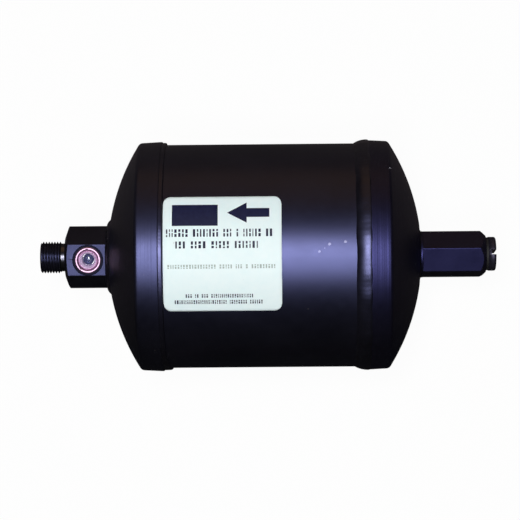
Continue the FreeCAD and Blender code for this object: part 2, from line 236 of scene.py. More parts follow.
# edge wear: where the mesh bulges past flatValue, broken up by noise
wearLook = {"flatValue": 0.53, "gain": 9.0, "noise": (700.0, 4.0, 0.7)}     # noise: scale, detail, roughness
wearGroup, enter, leave = newGroup("edgeWear", [vectorInput, numberInput("Amount", 0.5)], ["Mask"])
shape = wearGroup.nodes.new("ShaderNodeNewGeometry")
past = mathNode(wearGroup, "SUBTRACT", shape.outputs["Pointiness"], wearLook["flatValue"])
bulge = mathNode(wearGroup, "MULTIPLY", past, wearLook["gain"])
patches = noiseNode(wearGroup, enter.outputs["Vector"], *wearLook["noise"])
broken = mathNode(wearGroup, "MULTIPLY", bulge, patches)
scaled = mathNode(wearGroup, "MULTIPLY", broken, enter.outputs["Amount"])
wearGroup.links.new(clampNode(wearGroup, scaled), leave.inputs["Mask"])
print("made shader groups")


# Finishes.

def newFinish(name, constants):
    made = bpy.data.materials.new(name)
    made.use_nodes = True
    shader = made.node_tree.nodes["Principled BSDF"]
    for label, value in constants.items():
        shader.inputs[label].default_value = value
    coords = made.node_tree.nodes.new("ShaderNodeTexCoord")
    return made, made.node_tree, shader, coords.outputs["Object"]


def useGroup(tree, group, vector, values, output):
    made = tree.nodes.new("ShaderNodeGroup")
    made.node_tree = group
    tree.links.new(vector, made.inputs["Vector"])
    for key, value in values.items():
        made.inputs[key].default_value = value
    return made.outputs[output]


def mixColours(tree, factor, first, second):
    made = addNode(tree, "ShaderNodeMix", {"data_type": "RGBA"})
    tree.links.new(factor, made.inputs[0])
    for place, value in ((6, first), (7, second)):
        if isinstance(value, tuple):
            made.inputs[place].default_value = (*value, 1.0)
        else:
            tree.links.new(value, made.inputs[place])
    return made.outputs[2]


def spreadValue(tree, factor, low, high):
    made = addNode(tree, "ShaderNodeMapRange", None, {"To Min": low, "To Max": high})
    tree.links.new(factor, made.inputs["Value"])
    return made.outputs["Result"]


def bumpFrom(tree, height, shader):
    # the height is in metres
    bump = addNode(tree, "ShaderNodeBump", None, {"Strength": 1.0, "Distance": 1.0})
    tree.links.new(height, bump.inputs["Height"])
    tree.links.new(bump.outputs["Normal"], shader.inputs["Normal"])


def paintFinish(name, look):
    # satin paint: clouds in colour and gloss, orange peel, turning marks, dust, and bare spots on edges; its
    # specular tint is a painted blue-violet highlight colour standing in for bluish light
    made, tree, shader, vector = newFinish(name, {
        "Specular IOR Level": look["specular"], "Specular Tint": (*look["paintedHighlightTint"], 1.0)})
    cloud = useGroup(tree, cloudGroup, vector, {"Scale": look["cloudScale"]}, "Factor")
    specks = useGroup(tree, speckGroup, vector, {
        "Scale": look["speckScale"], "Size": look["speckSize"], "Share": look["speckShare"]}, "Mask")
    wear = useGroup(tree, wearGroup, vector, {"Amount": look["wear"]}, "Mask")
    colour = mixColours(tree, cloud, look["dark"], look["light"])
    colour = mixColours(tree, wear, colour, look["worn"])
    colour = mixColours(tree, specks, colour, look["dust"])
    least, more = look["chipEdge"]
    for x, y, z, radius in look["chips"]:
        # scuffed through where the distance to the chip's centre is under its radius, made ragged by noise
        away = addNode(tree, "ShaderNodeVectorMath", {"operation": "DISTANCE"})
        away.inputs[1].default_value = (x * mm, y * mm, z * mm)
        tree.links.new(vector, away.inputs[0])
        uneven = noiseNode(tree, vector, look["chipNoise"])
        ragged = mathNode(tree, "MULTIPLY_ADD", uneven, more * radius * mm, least * radius * mm)
        chipped = mathNode(tree, "LESS_THAN", away.outputs["Value"], ragged)
        colour = mixColours(tree, chipped, colour, look["chipColour"])
    tree.links.new(colour, shader.inputs["Base Color"])
    gloss = spreadValue(tree, cloud, *look["roughness"])
    rough = mathNode(tree, "MULTIPLY_ADD", specks, look["speckRoughness"], gloss)
    tree.links.new(rough, shader.inputs["Roughness"])
    swells = useGroup(tree, peelGroup, vector, {
        "Scale": look["peelScale"], "Depth": look["peelDepth"]}, "Height")
    marks = useGroup(tree, markGroup, vector, {
        "Scale": look["markScale"], "Depth": look["markDepth"]}, "Height")
    lumps = mathNode(tree, "MULTIPLY", specks, look["speckHeight"])
    bumpFrom(tree, mathNode(tree, "ADD", mathNode(tree, "ADD", swells, marks), lumps), shader)
    return made


# the blue-violet specular tint colours the paints' highlights: a painted highlight colour for bluish light,
# not the paint's own
satinBlack = {     # each chip: x, y, z and radius
    "dark": (0.0021, 0.0019, 0.0021), "light": (0.0038, 0.0034, 0.0037), "worn": (0.02, 0.018, 0.018),
    "dust": (0.09, 0.08, 0.07), "roughness": (0.36, 0.42), "specular": 0.34, "paintedHighlightTint": (0.43, 0.46, 1.0),
    "chips": [], "chipColour": (0.3, 0.29, 0.33), "chipNoise": 1500.0, "chipEdge": (0.3, 1.4),
    "cloudScale": 38.0, "speckScale": 240.0, "speckSize": 0.055, "speckShare": 0.16, "speckHeight": 8e-6,
    "speckRoughness": 0.3, "peelScale": 620.0, "peelDepth": 5e-6, "markScale": 500.0, "markDepth": 2e-6,
    "wear": 0.0,
}
vesselPaint = paintFinish("vesselPaint", satinBlack | {"chips": [
    (27.0, 1.8, 56.3, 0.6), (29.6, 3.4, 56.2, 0.3), (32.0, 5.4, 56.1, 0.7), (39.6, 6.4, 56.0, 0.65)]})
outletHeadPaint = paintFinish("outletHeadPaint", satinBlack | {
    "roughness": (0.36, 0.43), "markScale": 700.0, "markDepth": 4e-5, "wear": 0.25})
inletHeadPaint = paintFinish("inletHeadPaint", satinBlack | {
    "roughness": (0.38, 0.45), "markScale": 600.0, "markDepth": 6e-5, "wear": 0.25, "specular": 0.28,
    "paintedHighlightTint": (0.32, 0.32, 1.0), "chips": [(62.2, 42.3, 38.0, 0.6)]})
beadPaint = paintFinish("beadPaint", satinBlack | {
    "roughness": (0.3, 0.42), "peelScale": 1400.0, "peelDepth": 1.2e-5, "speckScale": 420.0,
    "speckShare": 0.22, "wear": 0.2, "paintedHighlightTint": (0.48, 0.5, 1.0)})
barLook = satinBlack | {
    "dark": (0.0028, 0.0026, 0.0034), "light": (0.0052, 0.0048, 0.006), "roughness": (0.36, 0.46),
    "specular": 0.22, "cloudScale": 90.0, "markScale": 1500.0, "markDepth": 5e-6, "speckScale": 500.0,
    "speckShare": 0.12, "wear": 0.5}
fittingPaint = paintFinish("fittingPaint", barLook)
inletFittingPaint = paintFinish("inletFittingPaint", barLook | {
    "dark": (0.0022, 0.002, 0.0034), "light": (0.0042, 0.0038, 0.006), "specular": 0.23,
    "paintedHighlightTint": (0.3, 0.3, 1.0)})
neckPaint = paintFinish("neckPaint", satinBlack | {
    "roughness": (0.2, 0.26), "specular": 0.45, "paintedHighlightTint": (0.8, 0.8, 1.0), "wear": 0.1, "speckShare": 0.05})
# dull paint in the recess round the sight ring: its dimmed reflection is painted shade
recessShadePaint = paintFinish("recessShadePaint", satinBlack | {"specular": 0.06, "roughness": (0.5, 0.6)})
plugPlastic = paintFinish("plugPlastic", satinBlack | {
    "dark": (0.006, 0.0056, 0.009), "light": (0.01, 0.009, 0.015), "worn": (0.05, 0.047, 0.06),
    "roughness": (0.42, 0.5), "specular": 0.18, "paintedHighlightTint": (0.7, 0.66, 1.0), "peelScale": 1800.0,
    "peelDepth": 6e-6, "markDepth": 0.0, "wear": 0.9})


def plainFinish(name, first, second, roughness, cloudScale, grain=None, constants=None):
    # two colours mixed by a cloud, gloss that follows it, and grain (scale and depth) for the bump
    made, tree, shader, vector = newFinish(name, constants or {})
    cloud = useGroup(tree, cloudGroup, vector, {"Scale": cloudScale}, "Factor")
    tree.links.new(mixColours(tree, cloud, first, second), shader.inputs["Base Color"])
    tree.links.new(spreadValue(tree, cloud, *roughness), shader.inputs["Roughness"])
    if grain:
        values = {"Scale": grain[0], "Depth": grain[1]}
        bumpFrom(tree, useGroup(tree, peelGroup, vector, values, "Height"), shader)
    return made


metal, inkShine = {"Metallic": 1.0}, {"Specular IOR Level": 0.07}
ringGrain, inkGrain = (1800.0, 8e-6), (3000.0, 2e-6)
platedMetal = plainFinish(
    "platedMetal", (0.14, 0.085, 0.125), (0.28, 0.19, 0.26), (0.44, 0.58), 260.0, ringGrain, metal)
# darker plated metal for the retainer's groove: painted shade
grooveShadeMetal = plainFinish(
    "grooveShadeMetal", (0.05, 0.02, 0.044), (0.1, 0.045, 0.09), (0.5, 0.6), 260.0, ringGrain, metal)
# pale lilac for the retainer's funnel: a painted highlight in place of its bright reflection
funnelHighlightPaint = plainFinish(
    "funnelHighlightPaint", (0.62, 0.46, 0.7), (0.84, 0.68, 0.9), (0.4, 0.55), 300.0, ringGrain,
    {"Specular IOR Level": 0.3})
bareSteel = plainFinish(
    "bareSteel", (0.4, 0.4, 0.41), (0.58, 0.58, 0.59), (0.3, 0.45), 90.0, (1500.0, 6e-6), metal)
drawnCopper = plainFinish(
    "drawnCopper", (0.62, 0.3, 0.18), (0.78, 0.44, 0.3), (0.25, 0.4), 110.0, (1300.0, 5e-6), metal)
blackRubber = plainFinish(
    "blackRubber", (0.006, 0.006, 0.007), (0.012, 0.011, 0.012), (0.6, 0.75), 120.0, (2200.0, 1e-5),
    {"Specular IOR Level": 0.12})
needledFelt = plainFinish(
    "needledFelt", (0.66, 0.63, 0.55), (0.8, 0.78, 0.7), (0.9, 1.0), 150.0, (2500.0, 1.5e-4))
dryingBeads = plainFinish(
    "dryingBeads", (0.5, 0.41, 0.3), (0.72, 0.62, 0.48), (0.8, 0.95), 420.0, (520.0, 9e-4))
navyInk = plainFinish(
    "navyInk", (0.005, 0.006, 0.034), (0.009, 0.011, 0.05), (0.5, 0.6), 500.0, inkGrain, inkShine)
faintInk = plainFinish(
    "faintInk", (0.3, 0.38, 0.35), (0.42, 0.5, 0.47), (0.5, 0.6), 500.0, inkGrain, inkShine)
# thick clear glass over a dark passage, with a fine haze; its blue-grey colour is a painted reflection of
# bluish light
sightGlassPaintedReflection = plainFinish(
    "sightGlassPaintedReflection", (0.045, 0.055, 0.15), (0.1, 0.12, 0.26), (0.06, 0.16), 700.0, None,
    {"IOR": 1.5, "Transmission Weight": 0.45, "Coat Weight": 0.6, "Coat Roughness": 0.05})

filmLook = {
    "first": (0.8, 0.95, 0.96), "second": (0.87, 0.98, 0.98), "dirt": (0.6, 0.68, 0.68),
    "speck": (0.5, 0.55, 0.55), "specular": 0.12, "roughness": (0.5, 0.6), "cloudScale": 60.0,
    "cleanTo": 0.475, "dirtGain": 14.0, "specks": {"Scale": 300.0, "Size": 0.07, "Share": 0.1},
    "wave": {"Scale": 90.0, "Depth": 2e-5},
}


def labelFinish(look):
    # coated film: faint mottling, specks, soft dirt past cleanTo from the middle of its own UV, and a
    # little waviness
    made, tree, shader, vector = newFinish("labelFilm", {"Specular IOR Level": look["specular"]})
    cloud = useGroup(tree, cloudGroup, vector, {"Scale": look["cloudScale"]}, "Factor")
    film = mixColours(tree, cloud, look["first"], look["second"])
    own = tree.nodes.new("ShaderNodeUVMap")
    own.uv_map = "film"
    sides = tree.nodes.new("ShaderNodeSeparateXYZ")
    tree.links.new(own.outputs[0], sides.inputs[0])
    offsets = [mathNode(tree, "SUBTRACT", sides.outputs[k], 0.5) for k in (0, 1)]
    nearEdge = mathNode(tree, "MAXIMUM", *[mathNode(tree, "ABSOLUTE", offset) for offset in offsets])
    pastClean = mathNode(tree, "SUBTRACT", nearEdge, look["cleanTo"])
    dirt = mathNode(tree, "MULTIPLY", pastClean, look["dirtGain"])
    dirtMask = clampNode(tree, mathNode(tree, "MULTIPLY", dirt, cloud))
    soiled = mixColours(tree, dirtMask, film, look["dirt"])
    specks = useGroup(tree, speckGroup, vector, look["specks"], "Mask")
    tree.links.new(mixColours(tree, specks, soiled, look["speck"]), shader.inputs["Base Color"])
    tree.links.new(spreadValue(tree, cloud, *look["roughness"]), shader.inputs["Roughness"])
    bumpFrom(tree, useGroup(tree, peelGroup, vector, look["wave"], "Height"), shader)
    return made


labelFilm = labelFinish(filmLook)
print("made finishes")


# Shell.

shell = {"radius": 56.35, "wall": 1.5, "end": 55.0, "rows": 90, "columns": 384}


def makeShell(size):
    # a straight tube: the outer wall from end to end, then the inner wall back
    along = np.linspace(-size["end"], size["end"], size["rows"])
    radius = np.repeat([size["radius"], size["radius"] - size["wall"]], len(along))
    along = np.concatenate([along, along[::-1]])
    points = aroundAxis(1, along[:, None], radius[:, None], fullTurn(size["columns"]))
    return gridObject("shellTube", points)


dress(makeShell(shell), ["shell"], "vessel_paint", vesselPaint)


# Dished heads.

head = {
    "rim": 51.0, "rimRadius": 57.982, "taper": 3.0, "wall": 1.4, "skirtLength": 10.1,
    "knuckle": 2.4, "crown": 106.0, "seatRadius": 17.0, "seatGap": 0.2, "hole": 7.05,
    "rimLength": 1.7, "rimDrop": 0.7, "outOfRound": 0.05, "roundWaves": (2, 5),
    "rimRows": 8, "skirtRows": 15, "knuckleRows": 14, "crownRows": 59, "columns": 384,
}
taper = math.radians(head["taper"])
knuckleAlong = head["rim"] + head["skirtLength"] * math.cos(taper) - head["knuckle"] * math.sin(taper)
knuckleRadius = (
    head["rimRadius"] - head["skirtLength"] * math.sin(taper) - head["knuckle"] * math.cos(taper))
crownCentre = knuckleAlong - math.sqrt((head["crown"] - head["knuckle"]) ** 2 - knuckleRadius ** 2)
seat = crownCentre + math.sqrt(head["crown"] ** 2 - head["seatRadius"] ** 2)


def headSide(size, inward):
    # straight tapered skirt, knuckle arc tangent to it, crown arc tangent to that, down to the flat seat
    skirtAngle, crownAngle = math.pi / 2 - taper, math.atan2(knuckleRadius, knuckleAlong - crownCentre)
    angle = np.linspace(skirtAngle, crownAngle, size["knuckleRows"])
    radius = size["knuckle"] - inward
    knuckle = np.stack([
        knuckleAlong + radius * np.cos(angle), knuckleRadius + radius * np.sin(angle)], axis=-1)
    rim = np.array([size["rim"], size["rimRadius"] - inward / math.cos(taper)])
    share = np.linspace(size["rimLength"] / size["skirtLength"], 1, size["skirtRows"] + 1)[:-1, None]
    skirt = rim + (knuckle[0] - rim) * share
    sphere = size["crown"] - inward
    seatEdge = math.sqrt(sphere ** 2 - (seat - inward - crownCentre) ** 2)
    reach = np.linspace(knuckle[-1, 1], seatEdge, size["crownRows"] + 1)[1:]
    crown = np.stack([crownCentre + np.sqrt(sphere ** 2 - reach ** 2), reach], axis=-1)
    return np.concatenate([skirt, knuckle, crown])


def makeHead(name, side, size, seed):
    # the outside from the rim to the seat's hole, then the inside back, turned round the axis; the rim
    # is rolled in a little, as a quarter of an ellipse, and the skirt is pressed slightly out of round
    outside, inside = headSide(size, 0.0), headSide(size, size["wall"])
    angle = np.linspace(0, math.pi / 2, size["rimRows"] + 1)[:-1]
    reach = size["rimLength"] * (1 - np.cos(angle))
    drop = size["rimDrop"] * (1 - np.sin(angle)) + math.tan(taper) * reach
    rolled = np.stack([size["rim"] + reach, size["rimRadius"] - drop], axis=-1)
    rim = np.concatenate([[[size["rim"], size["rimRadius"] - size["wall"]]], rolled])
    seatStart = size["seatRadius"] - size["seatGap"]
    flat = np.array([[seat, seatStart], [seat, size["hole"]], [seat - size["wall"], size["hole"]]])
    outline = np.concatenate([rim, outside, flat, inside[::-1]])
    turn = fullTurn(size["columns"])
    pressed = size["outOfRound"] * wander(turn, seed, *size["roundWaves"])
    share = np.clip(outline[:, 1:] / size["rimRadius"], 0, 1) ** 4
    return gridObject(name, aroundAxis(side, outline[:, :1], outline[:, 1:] + pressed * share, turn))


outletRim = {"rimLength": 0.8, "rimDrop": 0.3}
outletHead = makeHead("outletHead", -1, head | outletRim, 3)
dress(outletHead, ["outlet_head"], "vessel_paint", outletHeadPaint)
dress(makeHead("inletHead", 1, head, 8), ["inlet_head"], "vessel_paint", inletHeadPaint)
print("made shell and heads")


# Weld beads.

def weldBead(name, side, look):
    # a strip from low to high whose crest stands off the chord by a power of a half sine wave, times one
    # side that rises by the power toe and one that falls by the power lap; lumps and sway change its
    # height round the seam, ripples are crescents, and both edges wander
    turn = fullTurn(look["columns"])
    u = 0.5 - 0.5 * np.cos(np.linspace(0, math.pi, look["rows"]))[:, None]     # closer together at the sides
    low, high = np.array(look["low"]), np.array(look["high"])
    chord = (high - low) / np.linalg.norm(high - low)
    normal = np.array([-chord[1], chord[0]])
    lump, sway, uneven, toe, lap = (
        wander(turn, look["seed"] + k, *waves) for k, waves in enumerate(look["waves"]))
    crest = np.sin(math.pi * u) ** look["power"] * (1 - (1 - u) ** look["toe"]) * (1 - u ** look["lap"])
    lumps = 1 + look["lump"] * lump + look["sway"] * sway
    bend = look["crescent"] * (2 * u - 1) ** 2
    crescents = np.cos(look["ripples"] * turn + bend + look["uneven"] * uneven)
    height = crest * (look["bulge"] * lumps + look["ripple"] * crescents)
    fromDrift = (turn - math.radians(look["driftAt"])) / math.radians(look["driftWidth"])
    drift = look["drift"] * np.exp(-fromDrift ** 2)
    shift = (look["wander"] * toe - drift) * (1 - u) + look["wander"] * lap * u
    along = low[0] + (high[0] - low[0]) * u + normal[0] * height + chord[0] * shift
    radius = low[1] + (high[1] - low[1]) * u + normal[1] * height + chord[1] * shift
    edges = [-1, 0]     # the root closes the strip under its two edges
    along = np.concatenate([along, along[edges] - normal[0] * look["root"]])
    radius = np.concatenate([radius, radius[edges] - normal[1] * look["root"]])
    return gridObject(name, aroundAxis(side, along, radius, turn))


beadDefaults = {
    "rows": 22, "columns": 1152, "root": 0.25, "sway": 0.0, "toe": 1e6, "lap": 1e6, "crescent": 2.4,
    "uneven": 0.8, "drift": 0.0, "driftAt": 97, "driftWidth": 28,
    # fewest and most waves round the seam, for lumps, sway, ripples, toe and lap
    "waves": [(12, 38), (3, 7), (5, 20), (6, 30), (6, 30)],
}
outletSeam = beadDefaults | {
    "low": (48.78, 56.33), "high": (51.3, 56.4), "bulge": 1.08, "power": 0.0, "toe": 14.0, "lap": 40.0,
    "lump": 0.04, "ripple": 0.008, "ripples": 190, "wander": 0.06, "drift": 2.4, "seed": 21}
inletSeam = beadDefaults | {
    "low": (45.1, 56.33), "high": (53.4, 56.58), "bulge": 1.6, "power": 0.0, "toe": 3.2, "lap": 18.0,
    "lump": 0.06, "ripple": 0.008, "ripples": 150, "wander": 0.14, "sway": 0.02, "rows": 30, "seed": 32}
outletCollarBead = beadDefaults | {
    "low": (77.42, 19.1), "high": (79.53, 15.72), "bulge": 0.35, "power": 0.9, "lump": 0.25,
    "ripple": 0.07, "ripples": 52, "wander": 0.12, "columns": 640, "seed": 43}
inletCollarBead = beadDefaults | {
    "low": (77.83, 13.2), "high": (78.58, 11.72), "bulge": 0.17, "power": 0.9, "lump": 0.25,
    "ripple": 0.04, "ripples": 44, "wander": 0.08, "columns": 512, "root": 0.15, "seed": 54}
for name, side, look, node in (
        ("outletSeamBead", -1, outletSeam, "outlet_weld_bead"),
        ("inletSeamBead", 1, inletSeam, "inlet_weld_bead"),
        ("outletCollarBead", -1, outletCollarBead, "outlet_fitting_weld"),
        ("inletCollarBead", 1, inletCollarBead, "inlet_fitting_weld")):
    dress(weldBead(name, side, look), [node], "vessel_paint", beadPaint)
print("made weld beads")


# Hex fittings.

def hexColumns(turnedBy, near=3.0, nearSteps=18, farSteps=36):
    # angles round the bar, closer together within near degrees of its six corners
    close = np.linspace(-near, near, nearSteps + 1)[:-1]
    wide = np.linspace(near, 60 - near, farSteps + 1)[:-1]
    one = np.concatenate([close, wide]) + 30
    return np.radians((one + 60 * np.arange(6)[:, None]).ravel() + turnedBy)


def hexRadius(turn, flat, turnedBy, sharpness=110):
    # the flat's distance over the largest cosine to a flat; a high power mean rounds the corners slightly
    flats = np.radians(turnedBy + 60 * np.arange(6))
    cosines = np.clip(np.cos(turn[:, None] - flats), 0, 1)
    return flat / (cosines ** sharpness).sum(-1) ** (1 / sharpness)


def outlineColumns(turn, corners):
    # stacks corners given as numbers or per-column arrays into (column, corner, 2)
    pairs = (np.broadcast_arrays(np.asarray(a, float), np.asarray(r, float), turn)[:2] for a, r in corners)
    return np.stack([np.stack(pair, axis=-1) for pair in pairs], axis=1)


def chamferStart(size, radius):
    # where the turned cone meets the bar at this radius
    corner = size["flat"] / math.cos(math.pi / 6)
    return size["hexEnd"] - size["chamfer"] * (radius - size["face"]) / (corner - size["face"])


outletBar = {
    "spigotEnd": 73.43, "spigot": 7.0, "collar": 15.7, "collarEnd": 79.73, "flat": 13.75, "turnedBy": 6.5,
    "hexEnd": 100.53, "chamfer": 2.03, "face": 10.3, "neck": 7.05, "neckEnd": 102.53,
    "threadRadius": 7.9375, "threadRoot": 7.085, "pitch": 1.4111, "rootFlat": 0.25, "flank": 0.625,
    "end": 113.03, "threadChamfer": 0.7, "threadGap": 0.1, "threadRows": 132,
    "mouth": 6.2, "mouthEnd": 111.68, "bore": 4.85, "boreEnd": 103.68, "passage": 4.0,
    "tubeSeat": 4.8, "tubeSeatEnd": 81.43,
    "trims": [
        0.1, 0.3, 0.1, 0.3, 0.3, 0.15, 0.22, 0.3, 0.35, 0.1, 0.12, 0.12, 0.1, 0.05, 0.05, 0.05, 0.05],
}
sight = {
    "along": 88.43, "spotRadius": 7.6, "spotDepth": 0.7, "holeRadius": 5.65, "holeDepth": 8.4,
    "windowRadius": 2.6, "rimBreak": 0.2, "clearance": 4.0, "columns": 192,
}


def threadRadius(size, along, turn):
    # right-hand V thread: height follows the distance from the root in the pitch, with a flat crest and
    # a flat root; the blank under it runs from the neck up to the crest and down the end chamfer
    phase = (along / size["pitch"] + turn / (2 * math.pi)) % 1
    fromRoot = np.abs(2 * phase - 1)
    height = np.clip((fromRoot - size["rootFlat"]) / size["flank"], 0, 1)
    cut = size["threadRoot"] + (size["threadRadius"] - size["threadRoot"]) * height
    rising = size["neck"] + (along - size["neckEnd"])
    falling = size["threadRadius"] - size["threadChamfer"] + (size["end"] - along)
    blank = np.minimum(np.minimum(rising, falling), size["threadRadius"])
    return np.minimum(cut, blank)


def onSight(height, radius, turn):
    # a point over the sight flat: out along its normal, then round the sight glass
    tilt = math.radians(outletBar["turnedBy"])
    up = np.array([0, -math.sin(tilt), math.cos(tilt)])
    across = np.array([0, math.cos(tilt), math.sin(tilt)])
    equal = np.broadcast_arrays(height, radius, turn)
    height, radius, turn = (np.asarray(values, float)[..., None] for values in equal)
    centre = np.array([-sight["along"], 0, 0])
    lift = up * (outletBar["flat"] + height)
    return centre + lift + radius * (np.cos(turn) * np.array([1.0, 0, 0]) + np.sin(turn) * across)


def cutAway(thing, cutter, sharpAngle=35):
    # subtracts the cutter for good and drops it
    cut = thing.modifiers.new("cut", "BOOLEAN")
    cut.operation, cut.solver, cut.object = "DIFFERENCE", "EXACT", cutter
    bpy.context.view_layer.update()
    graph = bpy.context.evaluated_depsgraph_get()
    mesh = bpy.data.meshes.new_from_object(thing.evaluated_get(graph))
    thing.modifiers.clear()
    spare, thing.data = thing.data, mesh
    mesh.name = thing.name
    bpy.data.meshes.remove(spare)
    bpy.data.objects.remove(cutter)
    mesh.set_sharp_from_angle(angle=math.radians(sharpAngle))


def makeOutletFitting(size, port):
    # one closed outline turned round the axis, hexagonal on the bar and helical on the thread, with the
    # sight port cut out of it
    turn = hexColumns(size["turnedBy"])
    hexR = hexRadius(turn, size["flat"], size["turnedBy"])
    beforeThread = [
        (size["spigotEnd"], size["tubeSeat"]), (size["spigotEnd"], size["spigot"]), (seat, size["spigot"]),
        (seat, size["collar"]), (size["collarEnd"], size["collar"]), (size["collarEnd"], hexR),
        (chamferStart(size, hexR), hexR), (size["hexEnd"], size["face"]), (size["hexEnd"], size["neck"]),
        (size["neckEnd"], size["neck"]),
    ]
    afterThread = [
        (size["end"], size["threadRadius"] - size["threadChamfer"]), (size["end"], size["mouth"]),
        (size["mouthEnd"], size["bore"]), (size["boreEnd"], size["bore"]),
        (size["boreEnd"], size["passage"]), (size["tubeSeatEnd"], size["passage"]),
        (size["tubeSeatEnd"], size["tubeSeat"]),
    ]
    corners = outlineColumns(turn, beforeThread + afterThread)
    outline = softCorners(corners, size["trims"]).swapaxes(0, 1)
    threadPlace = len(beforeThread) * (len(outline) // corners.shape[1])
    gap = size["threadGap"]
    along = np.linspace(size["neckEnd"] + gap, size["end"] - gap, size["threadRows"])[:, None]
    thread = np.stack(np.broadcast_arrays(along, threadRadius(size, along, turn)), axis=-1)
    rows = np.concatenate([outline[:threadPlace], thread, outline[threadPlace:]])
    body = gridObject("outletFittingBar", aroundAxis(-1, rows[..., 0], rows[..., 1], turn))

    top, slope, spot = port["clearance"], port["rimBreak"], port["spotRadius"]
    hole, window = port["holeRadius"], port["windowRadius"]
    profile = np.array([
        [top, 0.0], [top, spot + slope], [0.0, spot + slope], [-slope, spot], [-port["spotDepth"], spot],
        [-port["spotDepth"], hole], [-port["holeDepth"], hole], [-port["holeDepth"], window],
        [-size["flat"], window], [-size["flat"], 0.0]])
    points = onSight(profile[:, :1], profile[:, 1:], fullTurn(port["columns"]))
    cutAway(body, gridObject("sightCutter", points, wrapRows=False))
    return body


def faceCentres(thing):
    centres = np.empty(len(thing.data.polygons) * 3)
    thing.data.polygons.foreach_get("center", centres)
    return centres.reshape(-1, 3).T / mm


def placeOnSight(thing):
    # each face's height over the sight flat and its distance from the sight glass's axis
    x, y, z = faceCentres(thing)
    tilt = math.radians(outletBar["turnedBy"])
    height = z * math.cos(tilt) - y * math.sin(tilt) - outletBar["flat"]
    return height, np.hypot(x + sight["along"], y * math.cos(tilt) + z * math.sin(tilt))


def chooseFinish(thing, numbers):
    thing.data.polygons.foreach_set("material_index", numbers.astype(np.int32))


paintPlaces = {
    "neckFrom": 0.07, "neckPast": 0.5, "neckRadii": (6.8, 7.6), "recessHeights": (-6.0, -0.05),
    "recessPast": 0.15,
}


def paintByPlace(thing, size, port, places):
    # the relief neck takes the second, glossier finish and the recess under the ring the third, dull one,
    # whose dimmed reflection is painted shade
    x, y, z = faceCentres(thing)
    radius = np.hypot(y, z)
    inner, outer = places["neckRadii"]
    onNeck = (-x > size["hexEnd"] + places["neckFrom"]) & (-x < size["neckEnd"] + places["neckPast"])
    onNeck = onNeck & (radius > inner) & (radius < outer)
    height, away = placeOnSight(thing)
    deepest, highest = places["recessHeights"]
    inRecess = (height < highest) & (height > deepest) & (away < port["spotRadius"] + places["recessPast"])
    chooseFinish(thing, onNeck + 2 * inRecess)


outletFitting = makeOutletFitting(outletBar, sight)
dress(outletFitting, ["outlet_fitting"], "fitting_paint", fittingPaint, neckPaint, recessShadePaint)
paintByPlace(outletFitting, outletBar, sight, paintPlaces)

inletBar = {
    "spigotEnd": 73.43, "spigot": 7.0, "collar": 11.7, "collarEnd": 79.63, "flat": 10.5, "turnedBy": 16.0,
    "hexEnd": 111.53, "chamfer": 3.1, "face": 9.2, "port": 7.45, "portFloor": 97.53, "passage": 4.5,
    "trims": [0.1, 0.3, 0.1, 0.3, 0.3, 0.15, 0.22, 0.25, 0.1, 0.1, 0.1],
}


def makeInletFitting(size):
    # one closed outline turned round the axis, hexagonal on the bar
    turn = hexColumns(size["turnedBy"])
    hexR = hexRadius(turn, size["flat"], size["turnedBy"])
    corners = [
        (size["spigotEnd"], size["passage"]), (size["spigotEnd"], size["spigot"]), (seat, size["spigot"]),
        (seat, size["collar"]), (size["collarEnd"], size["collar"]), (size["collarEnd"], hexR),
        (chamferStart(size, hexR), hexR), (size["hexEnd"], size["face"]), (size["hexEnd"], size["port"]),
        (size["portFloor"], size["port"]), (size["portFloor"], size["passage"]),
    ]
    outline = softCorners(outlineColumns(turn, corners), size["trims"]).swapaxes(0, 1)
    return gridObject("inletFittingBar", aroundAxis(1, outline[..., 0], outline[..., 1], turn))


dress(makeInletFitting(inletBar), ["inlet_fitting"], "fitting_paint", inletFittingPaint)
print("made fittings")


# Sight glass.

retainer = {
    "outline": [     # height over the sight flat and radius
        (-5.6, 2.95), (-5.6, 5.6), (-0.7, 5.6), (-0.7, 6.65), (0.15, 6.65), (0.72, 6.15), (0.72, 5.5),
        (0.3, 5.0), (-0.6, 4.9), (-0.6, 4.3), (0.3, 4.3), (0.3, 4.15), (-1.6, 3.1)],
    "trims": [0.1, 0.1, 0.05, 0.15, 0.2, 0.3, 0.3, 0.2, 0.1, 0.1, 0.05, 0.05, 0.3],
    "stakes": [     # angle, distance from the middle and width
        (-130, 5.3, 0.55), (-62, 4.7, 0.45), (-117, 4.6, 0.4), (-149, 4.4, 0.4), (95, 5.5, 0.5)],
    "stakeDepth": 0.5, "fade": 0.5, "groove": (4.27, 5.1), "grooveTop": 0.28, "funnelGap": 0.1,
    "columns": 288,
}


def makeRetainer(look):
    # a turned ring; each stake mark is a round dent pressed into its face, a bell curve of the distance
    outline = softCorners(np.array(look["outline"]), look["trims"])
    turn = fullTurn(look["columns"])
    height, radius = (np.broadcast_to(outline[:, k:k + 1], (len(outline), len(turn))) for k in (0, 1))
    angle, reach, width = np.array(look["stakes"]).T
    awayX = (radius * np.cos(turn))[..., None] - reach * np.cos(np.radians(angle))
    awayY = (radius * np.sin(turn))[..., None] - reach * np.sin(np.radians(angle))
    dents = np.exp(-(awayX ** 2 + awayY ** 2) / (2 * (width / 2) ** 2))
    facing = np.clip((height + look["fade"]) / look["fade"], 0, 1)
    pressed = height - dents.sum(-1) * look["stakeDepth"] * facing
    return gridObject("sightRetainer", onSight(pressed, radius, turn))


lens = {
    "low": -7.7, "top": -5.6, "radius": 5.35, "bevel": 0.2, "domeRadius": 2.75, "domeRise": 0.9,
    "domeGap": 0.05, "domeRows": 16, "columns": 144,
}


